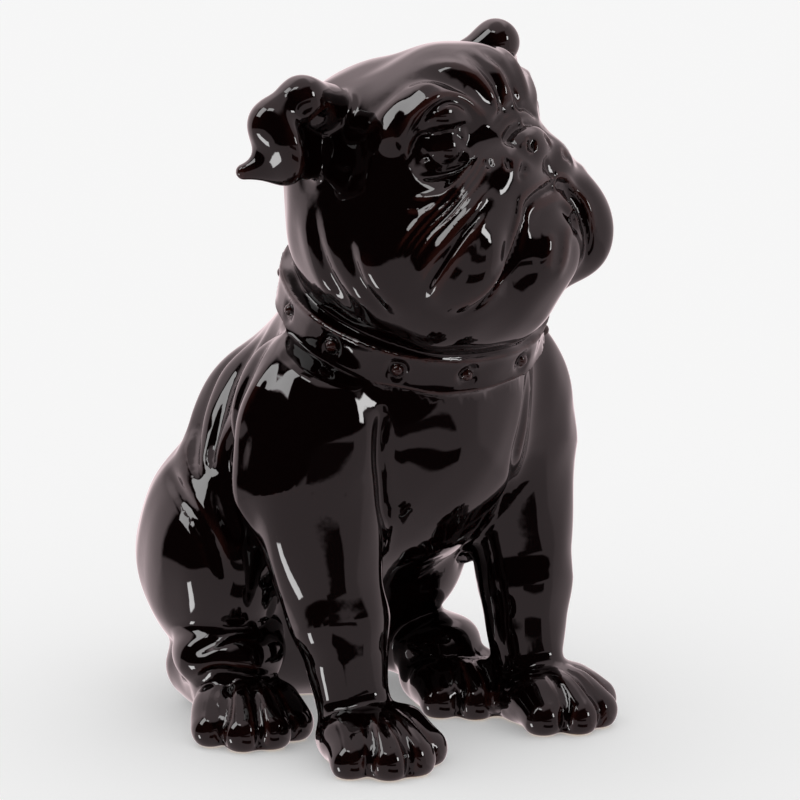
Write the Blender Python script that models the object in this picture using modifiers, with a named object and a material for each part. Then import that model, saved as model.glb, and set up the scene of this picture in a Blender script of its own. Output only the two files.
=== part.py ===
"""Sitting bulldog, a glazed ceramic figurine with a studded collar, cast in one piece.

Metres, +Z up. The dog faces -Y, its left side is +X, and it sits on the plane z = 0.
The form is laid out as soft masses of clay that flow into each other. The collar is a band
in a gutter around the neck, and folds and creases are pressed into the skin as strokes.
"""

import copy
import math

import bmesh
import bpy
import numpy as np
from mathutils import Matrix

# Driving sizes, in metres
HEIGHT = 0.300
COLLAR_WIDTH = 0.0165
COLLAR_THICKNESS = 0.0055
STUD_RADIUS = 0.0027
STUD_DIMPLE_RADIUS = 0.0050
STUD_COUNT = 12

# The pose and the proportions are shares of the height: one unit is 1/278 of it
UNITS_TALL = 278.0
UNIT = HEIGHT / UNITS_TALL
FAR = 1e3
WIDEST_BLEND = 30.0

# Skin sizes, in units: the mesh that the form is pulled onto, and its smallest faces
VOXELS = (3.2, 2.2, 1.6)
FACES = 9500
FLOOR_SNAP = 0.35


class Space:
    """A local frame of the sculpture, in units: where its origin is and how it is turned."""

    def __init__(self, origin, yaw=0.0, pitch=0.0, roll=0.0):
        turn = (
            Matrix.Rotation(math.radians(yaw), 3, "Z")
            @ Matrix.Rotation(math.radians(-pitch), 3, "X")
            @ Matrix.Rotation(math.radians(-roll), 3, "Y")
        )
        self.origin = np.array(origin, float)
        self.turn = np.array(turn, float)

    def inward(self, points):
        return (points - self.origin) @ self.turn

    def outward(self, points):
        return np.asarray(points, float) @ self.turn.T + self.origin


BODY = Space((0, 0, 0))
HIPS = Space((-8, 28, 0), yaw=-14)
HEAD = Space((0, -43, 205), yaw=14, pitch=25, roll=5)
COLLAR = Space((0.5, -22, 172), yaw=3, pitch=-23, roll=6)
COLLAR_RADIUS = 54.0
EAR_ROOT = 42.0

# Each paw: its space, where it stands in it and how far it turns, in degrees
PAWS = (
    (BODY, (-46.5, -55.5), -8),
    (BODY, (43.5, -55), 8),
    (HIPS, (-48.5, -36), -10),
    (HIPS, (46, -33), 10),
)


def blended(a, b, width):
    """The lower of two fields, with the corner between them filled over that width."""
    if width <= 0:
        return np.minimum(a, b)
    reach = np.maximum(width - np.abs(a - b), 0) / width
    return np.minimum(a, b) - reach * reach * width / 4


class Ball:
    """An egg-shaped mass: its centre, its three radii and how it is turned, in degrees."""

    def __init__(self, space, centre, radii, turn=(0, 0, 0), blend=6.0, mirrored=False, cut=False):
        self.space = space
        self.centre = np.array(centre, float)
        self.radii = np.array(radii, float)
        spin = [Matrix.Rotation(math.radians(angle), 3, axis) for angle, axis in zip(turn, "XYZ")]
        self.turn = np.array(spin[2] @ spin[1] @ spin[0], float)
        self.blend = blend
        self.mirrored = mirrored
        self.cut = cut
        self.reach = self.radii.max() + WIDEST_BLEND

    def middle(self):
        return self.centre

    def distance(self, points):
        local = (points - self.centre) @ self.turn
        share = np.linalg.norm(local / self.radii, axis=1)
        slope = np.linalg.norm(local / self.radii**2, axis=1)
        return share * (share - 1) / np.maximum(slope, 1e-9)

    def beads(self):
        """The balls that make up the mass, roughly: a centre, radii and a turn for each."""
        return [(self.centre, self.radii, self.turn)]


class Limb:
    """A rounded, tapered mass between two points, with a radius at each."""

    def __init__(self, space, start, end, radii, blend=6.0, mirrored=False, cut=False):
        self.space = space
        self.start = np.array(start, float)
        self.end = np.array(end, float)
        self.radii = radii
        self.blend = blend
        self.mirrored = mirrored
        self.cut = cut
        self.reach = np.linalg.norm(self.end - self.start) / 2 + max(radii) + WIDEST_BLEND

    def middle(self):
        return (self.start + self.end) / 2

    def distance(self, points):
        along = self.end - self.start
        share = np.clip((points - self.start) @ along / (along @ along), 0, 1)
        away = points - self.start - share[:, None] * along
        return np.linalg.norm(away, axis=1) - (self.radii[0] + (self.radii[1] - self.radii[0]) * share)

    def beads(self):
        count = 2 + int(np.linalg.norm(self.end - self.start) / (0.5 * min(self.radii)))
        made = []
        for share in np.linspace(0, 1, count):
            radius = self.radii[0] + (self.radii[1] - self.radii[0]) * share
            made.append((self.start + (self.end - self.start) * share, np.full(3, radius), np.eye(3)))
        return made


class Collar:
    """A round band about the neck, in a gutter, with domed studs in dimples all the way round."""

    def __init__(self, space, radius):
        self.space = space
        self.radius = radius
        self.half_width = COLLAR_WIDTH / UNIT / 2
        self.thickness = COLLAR_THICKNESS / UNIT
        self.stud = STUD_RADIUS / UNIT
        self.dimple = STUD_DIMPLE_RADIUS / UNIT
        self.cut = False
        self.mirrored = False

    def beads(self):
        """Balls strung around the neck where the band is, fine enough to stand for it."""
        size = (self.half_width, self.half_width, self.half_width)
        made = []
        for angle in np.linspace(0, 2 * math.pi, 72, endpoint=False):
            reach = self.radius - self.half_width + 0.5
            centre = np.array((reach * math.sin(angle), -reach * math.cos(angle), 0))
            made.append((centre, np.array(size), np.eye(3)))
        return made

    def gutter(self, points):
        """What is cut away from the neck: the room outside it, a little wider than the band."""
        round_about = np.hypot(points[:, 0], points[:, 1])
        inner = self.radius - self.thickness - round_about
        return np.maximum(inner, np.abs(points[:, 2]) - self.half_width + 0.4)

    def band(self, points):
        """The band with its rounded rims, its dimples and its studs."""
        rounding = 1.3
        round_about = np.hypot(points[:, 0], points[:, 1])
        rim = 0.8 * np.clip(np.abs(points[:, 2]) / self.half_width, 0, 1) ** 4
        depth = self.thickness + 4
        outside = np.abs(round_about - self.radius + depth / 2 - rim) - depth / 2 + rounding
        beside = np.abs(points[:, 2]) - self.half_width + rounding
        band = np.hypot(np.maximum(outside, 0), np.maximum(beside, 0)) - rounding
        band = band + np.minimum(np.maximum(outside, beside), 0)

        sector = 2 * math.pi / STUD_COUNT
        angle = np.arctan2(points[:, 0], -points[:, 1]) % sector - sector / 2
        place = np.stack([round_about * np.sin(angle), round_about * np.cos(angle), points[:, 2]], axis=1)
        hollow_depth = 0.42 * self.dimple
        hollow = (self.dimple**2 + hollow_depth**2) / (2 * hollow_depth)
        bowl = np.linalg.norm(place - (0, self.radius + hollow - hollow_depth, 0), axis=1) - hollow
        seat = (0, self.radius - hollow_depth + 0.35 * self.stud, 0)
        dome = np.linalg.norm(place - seat, axis=1) - self.stud
        return blended(-blended(-band, bowl, 1.2), dome, 0.4)


class Stroke:
    """A fold that stands up, or a crease pressed in, along a smooth path laid on the form."""

    def __init__(self, space, points, width, height, mirrored=False, ends=(0.3, 0.3)):
        self.space = space
        self.width = width
        self.height = height
        self.paired = mirrored
        self.path = through(np.array(points, float))
        share = np.linspace(0, 1, len(self.path))
        self.fade = eased(share / max(ends[0], 1e-6)) * eased((1 - share) / max(ends[1], 1e-6))

    def twin(self):
        """The same stroke on the other side of its space."""
        other = copy.copy(self)
        other.path = self.path * (-1, 1, 1)
        return other

    def lay(self, figure):
        """Moves the path onto the form."""
        world = pulled(figure.form, self.space.outward(self.path), 4, most=12.0)
        self.path = self.space.inward(world)
        self.middle = (self.path.min(axis=0) + self.path.max(axis=0)) / 2
        spread = np.linalg.norm(self.path - self.middle, axis=1).max()
        self.reach = spread + 2.6 * self.width

    def raised(self, points):
        """How far the stroke lifts the skin at each point of its space."""
        best = np.full(len(points), FAR)
        fade = np.zeros(len(points))
        for index in range(len(self.path) - 1):
            start, end = self.path[index], self.path[index + 1]
            along = end - start
            share = np.clip((points - start) @ along / max(along @ along, 1e-9), 0, 1)
            away = ((points - start - share[:, None] * along) ** 2).sum(axis=1)
            closer = away < best
            best[closer] = away[closer]
            local = self.fade[index] + (self.fade[index + 1] - self.fade[index]) * share
            fade[closer] = local[closer]
        return self.height * fade * np.exp(-best / self.width**2)


def eased(share):
    share = np.clip(share, 0, 1)
    return share * share * (3 - 2 * share)


def through(points, steps=5):
    """A smooth path through the points, as a Catmull-Rom curve."""
    padded = np.concatenate([[2 * points[0] - points[1]], points, [2 * points[-1] - points[-2]]])
    made = []
    for index in range(len(points) - 1):
        a, b, c, d = padded[index : index + 4]
        for t in np.arange(steps) / steps:
            bend = (2 * a - 5 * b + 4 * c - d) * t**2
            twist = (3 * b - a - 3 * c + d) * t**3
            made.append(0.5 * (2 * b + (c - a) * t + bend + twist))
    made.append(points[-1])
    return np.array(made)


def between(first, last, count):
    """Paths that go over from the first to the last in even steps, both of them included."""
    first, last = np.array(first, float), np.array(last, float)
    return [first + (last - first) * share for share in np.linspace(0, 1, count)]


def torso_masses():
    """Rib cage, loin, brisket, neck and shoulders."""
    return [
        Ball(BODY, (0, 18, 109), (58, 55, 57), blend=0),
        Ball(BODY, (0, 37, 88), (60, 56, 55), blend=26),
        Ball(BODY, (0, -28, 124), (42, 34, 52), blend=20),
        Ball(BODY, (0, -38, 126), (36, 28, 30), blend=16),
        Limb(BODY, (0, -9, 146), (0, -36, 200), (48, 45), blend=18),
        Ball(BODY, (46, -19, 125), (30, 34, 41), blend=8, mirrored=True),
    ]


def foreleg_masses():
    return [
        Limb(BODY, (50, -22, 104), (48.5, -36, 54), (29, 18.5), blend=7, mirrored=True),
        Limb(BODY, (48, -36, 54), (45, -41, 24), (18.8, 14.8), blend=5, mirrored=True),
    ]


def paw_masses(space, centre, outward):
    """A paw on the floor: its pad and four toes, turned by some degrees."""
    turn = Space((centre[0], centre[1], 0), yaw=outward)
    masses = [Ball(space, turn.outward((0, 0, 9)), (20.5, 25, 14), (0, 0, outward), blend=6)]
    for side, forward in ((-16.5, 13), (-5.8, 22), (5.8, 22), (16.5, 13)):
        root = turn.outward((side * 0.8, 10 - forward, 12))
        tip = turn.outward((side, -forward, 6.5))
        masses.append(Limb(space, root, tip, (9, 8.5), blend=4.0))
    return masses


def hind_leg_masses(side, thigh, thigh_radii, knee, knee_radii):
    """A folded hind leg, with its foot flat on the floor."""
    return [
        Ball(HIPS, (side * thigh[0], thigh[1], thigh[2]), thigh_radii, (12, 0, 0), blend=10),
        Ball(HIPS, (side * knee[0], knee[1], knee[2]), knee_radii, blend=4),
        Limb(HIPS, (side * knee[0], 10, 16), (side * knee[0], -16, 14), (15, 13), blend=8),
    ]


def hind_masses():
    """Rump, hind legs and tail: the near leg lies further out than the far one."""
    masses = [Ball(HIPS, (0, 18, 41), (52, 42, 46), blend=20)]
    masses += hind_leg_masses(-1, (49, 1, 66), (28, 42, 44), (49, -20, 30), (23, 24, 17))
    masses += hind_leg_masses(1, (37, 5, 68), (26, 40, 42), (44, -17, 23), (18, 23, 12))
    masses.append(Limb(HIPS, (0, 58, 30), (4, 66, 24), (9, 5), blend=5))
    return masses


def head_masses():
    """Skull, cheeks, muzzle, chin, lips and nose."""
    return [
        Ball(HEAD, (0, -6, 28), (45, 43, 39.5), blend=0),
        Ball(HEAD, (-6, 14, 38), (39, 31, 33), blend=10),
        Ball(HEAD, (0, -24, 41), (34, 28, 22), blend=10),
        Ball(HEAD, (32, -4, -6), (24, 34, 36), blend=16, mirrored=True),
        Ball(HEAD, (-5, -8, -31), (34.5, 31, 22), blend=14),
        Ball(HEAD, (0, -32, 2), (30, 20, 24), blend=12),
        Ball(HEAD, (-1, 20, 5), (51, 39, 47), blend=14),
        Ball(HEAD, (-2, -30.5, -22), (25, 20, 21), blend=5),
        Ball(HEAD, (-34, -28, -9), (13.5, 19, 24), (0, 20, 0), blend=8),
        Ball(HEAD, (-23, -37, -3), (14, 13, 15), blend=8),
        Ball(HEAD, (27.5, -32.5, -15.5), (15.5, 20, 24), (0, -8, 0), blend=10),
        Ball(HEAD, (13, -42, 6), (15, 12.5, 12), blend=6, mirrored=True),
        Limb(HEAD, (0, -44, 25), (11, -43, 23), (6, 4.5), blend=5, mirrored=True),
        Ball(HEAD, (0, -49, 13), (12, 8, 8.5), blend=3),
    ]


def eye_masses():
    """An arched brow with a bulb of skin under it, the socket, and the eyeball in that."""
    return [
        Limb(HEAD, (-40, -24, 36), (-30, -36, 42), (5, 6), blend=8),
        Limb(HEAD, (-30, -36, 42), (-14, -42, 32), (6, 5), blend=8),
        Limb(HEAD, (36, -22, 35), (26, -34, 40), (5, 5), blend=8),
        Limb(HEAD, (26, -34, 40), (13, -42, 31), (5, 5), blend=8),
        Ball(HEAD, (41, -44, 24), (14, 14, 12), blend=5, mirrored=True, cut=True),
        Ball(HEAD, (-27, -39, 35), (10, 8, 6), blend=5),
        Ball(HEAD, (23, -36, 33.5), (8, 7, 6), blend=5),
        Ball(HEAD, (-28, -34, 24), (8, 8, 8), blend=1),
        Ball(HEAD, (25, -33, 24), (8, 7.5, 7.5), blend=1),
    ]


def ear_masses(side, forward, spread, lift):
    """A folded ear: a ridge out from the skull, a wall behind, and a flap that runs to a tip."""

    def at(x, y, z):
        return (side * (EAR_ROOT + spread * (x - EAR_ROOT)), y - forward, z + lift)

    return [
        Limb(HEAD, (side * EAR_ROOT, 0, 57), at(58, -4, 61), (9, 8.5), blend=5),
        Limb(HEAD, at(58, -4, 61), at(70, 5, 57.5), (8.5, 7.5), blend=4),
        Ball(HEAD, at(68.5, 6, 49.5), (7.5, 13 * spread, 15.5), (0, 0, side * 20), blend=5),
        Ball(HEAD, at(54, 10, 49), (16, 6, 16), blend=6),
        Limb(HEAD, at(68, 10, 42), at(77, 20, 44.5), (6, 2.8), blend=6),
        Ball(HEAD, at(53, -4, 44), (5.5, 9, 12), (0, side * 12, 0), blend=3, cut=True),
    ]


def body_masses():
    masses = torso_masses() + hind_masses() + foreleg_masses()
    for space, centre, outward in PAWS:
        masses += paw_masses(space, centre, outward)
    return masses


def folds(space, first, last, count, width, height, mirrored=True):
    """Folds side by side: rounded ridges, with a narrower crease pressed in between each two."""
    made = [Stroke(space, path, width, height, mirrored) for path in between(first, last, count)]
    for a, b in zip(between(first, last, count)[:-1], between(first, last, count)[1:]):
        made.append(Stroke(space, (a + b) / 2, 0.6 * width, -height, mirrored))
    return made


def brow_strokes():
    """Furrows over the nose, and the arched skin over each eye."""
    arch = [(43, -24, 33), (38, -36, 40), (31, -45, 42), (25, -48, 39), (19, -49, 32), (14, -49, 27)]
    under_arch = [(42, -28, 30), (36, -39, 37), (30, -44, 38.5), (24, -46, 35), (19, -46, 29)]
    made = [
        Stroke(HEAD, arch, 2.3, 1.5, True),
        Stroke(HEAD, under_arch, 1.4, -1.8, True),
        Stroke(HEAD, [(8, -49, 29), (11, -52, 38), (16, -47, 49), (24, -34, 60)], 3.0, 1.5, True),
        Stroke(HEAD, [(20, -48, 42), (27, -42, 50), (34, -30, 56)], 3.4, -1.3, True),
        Stroke(HEAD, [(36, -35, 49), (43, -22, 46), (46, -8, 37)], 3.8, 1.4, True),
        Stroke(HEAD, [(-2.5, -53, 29), (-2.5, -54, 38), (-1, -50, 50)], 2.6, 1.0),
    ]
    for x in (-7.4, 2.4):
        made.append(Stroke(HEAD, [(x + 1, -49, 27), (x, -53, 33), (x - 0.4, -54, 40)], 1.5, -3.2))
        made.append(Stroke(HEAD, [(x, -53, 34), (x, -52, 44), (x + 0.5, -42, 56)], 3.0, -1.4))
    return made


def eye_strokes():
    """Lids about the eyeball, the crease around them, and the folds of skin below."""
    upper_lid = [(36, -30, 23.5), (34.5, -32, 29), (29, -38.5, 31.5), (26, -42, 27), (26, -42, 21.5)]
    lower_lid = [(36, -30, 23.5), (35, -31, 19), (31, -35.5, 16.3), (27.5, -40, 17), (26, -42, 21.5)]
    over_lid = [(45, -23, 19), (40, -27, 25), (36.5, -30, 31), (31, -36.5, 34.5), (26, -41.5, 32.5)]
    over_lid += [(23.5, -44.5, 27)]
    under_lid = [(42, -26, 17), (37.5, -29, 14), (33, -33, 12.7), (28, -39.5, 13.5), (24, -44, 17)]
    return [
        Stroke(HEAD, upper_lid, 1.5, 2.2, True, (0.15, 0.15)),
        Stroke(HEAD, lower_lid, 1.5, 1.9, True, (0.15, 0.15)),
        Stroke(HEAD, over_lid, 1.3, -1.7, True),
        Stroke(HEAD, under_lid, 1.5, -1.2, True),
        Stroke(HEAD, [(48, -24, 12), (44, -30, 8), (38, -36, 7), (31, -41, 8)], 1.7, 0.7, True),
        Stroke(HEAD, [(51, -22, 9), (48, -28, 4), (43, -34, 3)], 1.7, 0.6, True),
    ]


def cheek_strokes():
    """Fine folds from the eye down the cheek, and two broad ones below them."""
    made = folds(
        HEAD,
        [(16, -44, 22), (28, -42, 13), (41, -37, 7), (51, -24, 0), (55, -12, -7)],
        [(23, -47, 12), (33, -45, 6), (44, -38, -1), (51, -28, -6), (54, -16, -13)],
        4, 1.7, 0.9,
    )
    made += folds(
        HEAD,
        [(27, -49, 6), (38, -44, -2), (46, -36, -8), (51, -26, -14), (53, -15, -21)],
        [(34, -47, -3), (42, -42, -10), (48, -33, -17), (51, -24, -23), (51, -14, -30)],
        2, 3.0, 1.6,
    )
    for start in between((24, -47, 13), (14, -54, 8), 3):
        made.append(Stroke(HEAD, [start, start + (2, 0, -4)], 1.0, -1.4, True))
    return made


def neck_strokes():
    """Loose skin that hangs in soft folds from behind the jaw to the collar."""
    return folds(
        HEAD,
        [(48, 22, 30), (52, 26, 2), (51, 23, -14)],
        [(55, -1, 6), (55, -2, -14), (50, -4, -30)],
        3, 5.0, 1.1,
    )


def muzzle_strokes():
    """The rolled lips and the creases along them, the chin and the nose."""
    near_rim = [(5, -54, -1), (-8, -55, -3), (-18, -54, -5), (-22, -50, -10), (-26, -47, -17)]
    near_rim += [(-30, -44, -24), (-36, -40, -29), (-42, -30, -33), (-49, -14, -30)]
    near_crease = [(5, -54, -4), (-7, -54, -6), (-15, -53, -9), (-19, -49, -14), (-23, -46, -20)]
    near_crease += [(-27, -43, -27), (-33, -39, -33), (-40, -29, -37), (-46, -14, -35)]
    far_rim = [(5, -54, -1), (12, -55, -4), (18, -53, -10), (21, -49, -18), (22, -45, -27)]
    far_crease = [(5, -54, -4), (11, -54, -7), (15, -52, -12), (17, -49, -19), (18, -45, -27)]
    far_crease += [(20, -39, -35)]
    lower_lip = [(-15, -50, -13), (-7, -53, -10), (4, -53, -9), (11, -52, -13), (13, -49, -19)]
    over_nose = [(0, -52, 22), (7, -51, 21), (11.5, -48, 16), (12, -48, 9)]
    return [
        Stroke(HEAD, near_rim, 1.9, 1.3, False, (0.02, 0.3)),
        Stroke(HEAD, near_crease, 1.9, -3.0, False, (0.02, 0.3)),
        Stroke(HEAD, far_rim, 1.9, 1.0, False, (0.02, 0.3)),
        Stroke(HEAD, far_crease, 1.8, -2.8, False, (0.02, 0.3)),
        Stroke(HEAD, lower_lip, 2.4, 1.5),
        Stroke(HEAD, [(14, -50, -15), (11, -50, -19), (8, -50, -22)], 1.4, -2.0),
        Stroke(HEAD, [(9, -50, -19), (0, -51, -23), (-4, -49, -29), (-8, -44, -39)], 2.6, 1.1),
        Stroke(HEAD, [(-8, -51, -18), (-11, -49, -26), (-15, -45, -34)], 2.6, 1.0),
        Stroke(HEAD, [(1, -57, 6), (3, -55, -2)], 1.3, -2.0, False, (0.2, 0.1)),
        Stroke(HEAD, [(12, -54, 6), (16, -54, 5), (19, -52, 2)], 1.4, -1.4, True),
        Stroke(HEAD, [(4.6, -57, 11.5), (7.5, -55, 14)], 1.8, -3.4, True, (0.3, 0.3)),
        Stroke(HEAD, over_nose, 1.5, -1.8, True, (0.05, 0.3)),
        Stroke(HEAD, [(0, -47, 31), (8, -46, 29), (14, -43, 25)], 1.6, -1.6, True, (0.05, 0.3)),
    ]


def body_strokes():
    """Chest creases, loose skin behind the collar and over the flank, and the ankle rolls."""
    near_chest = [(-38, -52, 140), (-40, -53, 124), (-37, -48, 106), (-32, -43, 88)]
    far_chest = [(30, -54, 148), (22, -58, 128), (19, -58, 115), (26, -50, 100), (28, -40, 86)]
    shoulder = [(55, -20, 158), (70, -17, 145), (73, -10, 125), (72, -12, 104), (68, -18, 86)]
    behind_shoulder = [(52, -8, 160), (66, -8, 146), (69, 0, 125), (68, -2, 104), (65, -10, 86)]
    made = [Stroke(BODY, near_chest, 3.0, -3.6), Stroke(BODY, far_chest, 3.0, -3.6)]
    made += folds(
        BODY,
        [(46, 4, 167), (60, 2, 157), (68, 2, 138), (66, 12, 120), (64, 12, 106)],
        [(34, 44, 162), (44, 58, 138), (54, 52, 116), (64, 36, 100), (66, 24, 90)],
        4, 4.6, 2.1,
    )
    made += [
        Stroke(BODY, shoulder, 4.5, 2.6, True),
        Stroke(BODY, behind_shoulder, 2.6, -2.6, True),
        Stroke(HIPS, [(62, 6, 100), (66, -12, 95), (63, -34, 80), (58, -41, 60)], 2.8, -3.2, True),
        Stroke(HIPS, [(72, -28, 30), (62, -36, 40), (51, -38, 43), (38, -39, 39)], 2.2, -2.2, True),
        Stroke(HIPS, [(70, -26, 18), (64, -40, 27), (54, -44, 27), (38, -42, 22)], 2.2, -2.8, True),
    ]
    flank = [(66, 20, 101), (71, 8, 90), (69, 0, 78)]
    for path in between(flank, [(60, 6, 98), (61, -2, 88), (62, -8, 78)], 2):
        made.append(Stroke(BODY, path, 2.6, -2.0, True))
    return made


def paw_strokes(space, centre, outward):
    """The creases between the toes of a paw."""
    turn = Space((centre[0], centre[1], 0), yaw=outward)
    made = []
    for side in (-11.2, 0.0, 11.2):
        reach = 26 - 0.35 * abs(side)
        path = [(side * 0.75, -6, 26), (side * 0.9, 8 - reach, 20), (side, -reach, 10), (side, -reach, 3)]
        made.append(Stroke(space, turn.outward(path), 1.7, -3.0, False, (0.4, 0.1)))
    return made


def all_strokes():
    made = brow_strokes() + eye_strokes() + cheek_strokes() + neck_strokes() + muzzle_strokes()
    made += body_strokes()
    for space, centre, outward in PAWS:
        made += paw_strokes(space, centre, outward)
    return made


class Figure:
    """The masses and what is pressed into them, as one field: below zero inside the clay."""

    def __init__(self, body, collar, head, strokes):
        self.body = body
        self.collar = collar
        self.head = head
        self.strokes = strokes + [stroke.twin() for stroke in strokes if stroke.paired]
        for stroke in self.strokes:
            stroke.lay(self)

    def layer(self, masses, places):
        """One group of masses as a field."""
        value = np.full(places.count, FAR)
        for mass in masses:
            local = places.of(mass)
            near = np.flatnonzero(((local - mass.middle()) ** 2).sum(axis=1) < mass.reach**2)
            if not len(near):
                continue
            own = mass.distance(local[near])
            if mass.cut:
                value[near] = -blended(-value[near], own, mass.blend)
            else:
                value[near] = blended(value[near], own, mass.blend)
        return value

    def form(self, points):
        """The masses and the collar, with nothing pressed in."""
        places = Places(points)
        value = self.layer(self.body, places)
        around = places.of(self.collar)
        near = np.flatnonzero((around**2).sum(axis=1) < (1.5 * self.collar.radius) ** 2)
        if len(near):
            room = self.collar.gutter(around[near])
            value[near] = -blended(-value[near], room, 2.0)
            value[near] = blended(value[near], self.collar.band(around[near]), 1.6)
        return blended(value, self.layer(self.head, places), 4.0)

    def value(self, points):
        value = self.form(points)
        places = Places(points)
        for stroke in self.strokes:
            local = places.of(stroke)
            near = np.flatnonzero(((local - stroke.middle) ** 2).sum(axis=1) < stroke.reach**2)
            if len(near):
                value[near] -= stroke.raised(local[near])
        return -blended(-value, points[:, 2] * 1.0, 2.0)


class Places:
    """The same points as seen from each space, worked out once."""

    def __init__(self, points):
        self.points = points
        self.count = len(points)
        self.seen = {}

    def of(self, thing):
        mirrored = getattr(thing, "mirrored", False)
        key = (id(thing.space), mirrored)
        if key not in self.seen:
            local = thing.space.inward(self.points)
            if mirrored:
                local[:, 0] = np.abs(local[:, 0])
            self.seen[key] = local
        return self.seen[key]


CORNERS = np.array([(1, 1, 1), (1, -1, -1), (-1, 1, -1), (-1, -1, 1)], float)


def slope(field, points, step=0.08):
    """The field and its gradient at each point, from four samples about it."""
    samples = [field(points + step * corner) for corner in CORNERS]
    gradient = sum(sample[:, None] * corner for sample, corner in zip(samples, CORNERS)) / (4 * step)
    return sum(samples) / 4, gradient


def pulled(field, points, rounds, most=3.0):
    """The points moved onto the field's zero surface, by at most that far each round."""
    for _ in range(rounds):
        here, gradient = slope(field, points)
        square = np.maximum((gradient**2).sum(axis=1), 0.05)
        move = -(here / square)[:, None] * gradient
        length = np.linalg.norm(move, axis=1)
        move *= np.minimum(1, most / np.maximum(length, 1e-9))[:, None]
        points = points + move
    return points


def relaxed(points, edges, share):
    """Each point moved part of the way to the middle of its neighbours."""
    total = np.zeros_like(points)
    count = np.bincount(edges.ravel(), minlength=len(points))
    for axis in range(3):
        total[:, axis] = np.bincount(edges[:, 0], points[edges[:, 1], axis], len(points))
        total[:, axis] += np.bincount(edges[:, 1], points[edges[:, 0], axis], len(points))
    return points + share * (total / np.maximum(count, 1)[:, None] - points)


def unit_ball():
    mesh = bmesh.new()
    bmesh.ops.create_icosphere(mesh, subdivisions=3, radius=1.0)
    points = np.array([v.co for v in mesh.verts])
    faces = np.array([[v.index for v in face.verts] for face in mesh.faces])
    mesh.free()
    return points, faces


def rough_object(masses, name):
    """All the masses as overlapping closed balls in one object, in units."""
    ball, ball_faces = unit_ball()
    points, faces = [], []
    for mass in masses:
        if mass.cut:
            continue
        for side in (1, -1) if mass.mirrored else (1,):
            for centre, radii, turn in mass.beads():
                placed = (ball * radii) @ turn.T + centre
                placed[:, 0] *= side
                faces.append(ball_faces[:, ::side] + len(points) * len(ball))
                points.append(mass.space.outward(placed))
    data = bpy.data.meshes.new(name)
    data.from_pydata(np.concatenate(points).tolist(), [], np.concatenate(faces).tolist())
    shape = bpy.data.objects.new(name, data)
    bpy.context.scene.collection.objects.link(shape)
    return shape


def apply_modifiers(shape):
    graph = bpy.context.evaluated_depsgraph_get()
    data = bpy.data.meshes.new_from_object(shape.evaluated_get(graph))
    old = shape.data
    shape.modifiers.clear()
    shape.data = data
    bpy.data.meshes.remove(old)


def remeshed(shape, size):
    skin = shape.modifiers.new("skin", "REMESH")
    skin.mode = "VOXEL"
    skin.voxel_size = size
    apply_modifiers(shape)


def coordinates(data):
    points = np.empty(len(data.vertices) * 3)
    data.vertices.foreach_get("co", points)
    edges = np.empty(len(data.edges) * 2, int)
    data.edges.foreach_get("vertices", edges)
    return points.reshape(-1, 3), edges.reshape(-1, 2)


def settle(shape, field, rounds, last=2):
    """Pulls the mesh onto a field's surface, easing its spacing between pulls."""
    points, edges = coordinates(shape.data)
    for _ in range(rounds):
        points = pulled(field, points, 1)
        points = relaxed(points, edges, 0.4)
    points = pulled(field, points, last)
    shape.data.vertices.foreach_set("co", points.ravel())
    shape.data.update()


def sculpture(strokes):
    head = head_masses() + eye_masses() + ear_masses(-1, 0, 1.0, 0) + ear_masses(1, 14, 0.7, -0.5)
    return Figure(body_masses(), Collar(COLLAR, COLLAR_RADIUS), head, strokes)


def sculpt(name, sizes, strokes):
    """The figure as one closed mesh in units, each pass on a finer skin than the last."""
    figure = sculpture(strokes)
    shape = rough_object(figure.body + figure.head + [figure.collar], name)
    for size in sizes[:-1]:
        remeshed(shape, size)
        settle(shape, figure.form, 4)
    remeshed(shape, sizes[-1])
    settle(shape, figure.value, 2)
    return shape, figure


def thinned(shape, figure, faces):
    """Fewer faces where the skin is smooth, all of them triangles, and the feet flat on the floor."""
    total = sum(len(face.vertices) - 2 for face in shape.data.polygons)
    fewer = shape.modifiers.new("fewer", "DECIMATE")
    fewer.ratio = faces / total
    fewer.use_collapse_triangulate = True
    apply_modifiers(shape)
    points = pulled(figure.value, coordinates(shape.data)[0], 1, most=0.4)
    points[points[:, 2] < FLOOR_SNAP, 2] = 0.0
    shape.data.vertices.foreach_set("co", points.ravel())
    shape.data.update()


def placed(shape):
    """From units to metres: exactly HEIGHT tall, standing about the middle of its own box."""
    points = coordinates(shape.data)[0]
    low, high = points.min(axis=0), points.max(axis=0)
    middle = (low + high) / 2
    points = (points - (middle[0], middle[1], low[2])) * (HEIGHT / (high[2] - low[2]))
    shape.data.vertices.foreach_set("co", points.ravel())
    shape.data.update()


def glaze():
    """Black-brown glossy glaze."""
    material = bpy.data.materials.new("black_brown_glaze")
    material.use_nodes = True
    shader = material.node_tree.nodes["Principled BSDF"]
    shader.inputs["Base Color"].default_value = (0.008, 0.005, 0.005, 1)
    shader.inputs["Roughness"].default_value = 0.05
    shader.inputs["Metallic"].default_value = 0.0
    return material


def main():
    for old in list(bpy.data.objects):
        bpy.data.objects.remove(old)
    shape, figure = sculpt("bulldog_figurine", VOXELS, all_strokes())
    thinned(shape, figure, FACES)
    placed(shape)
    shape.data.materials.append(glaze())
    shape.data.shade_smooth()
    group = bpy.data.collections.new("sitting_bulldog")
    bpy.context.scene.collection.children.link(group)
    group.objects.link(shape)
    bpy.context.scene.collection.objects.unlink(shape)


if __name__ == "__main__":
    main()
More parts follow.
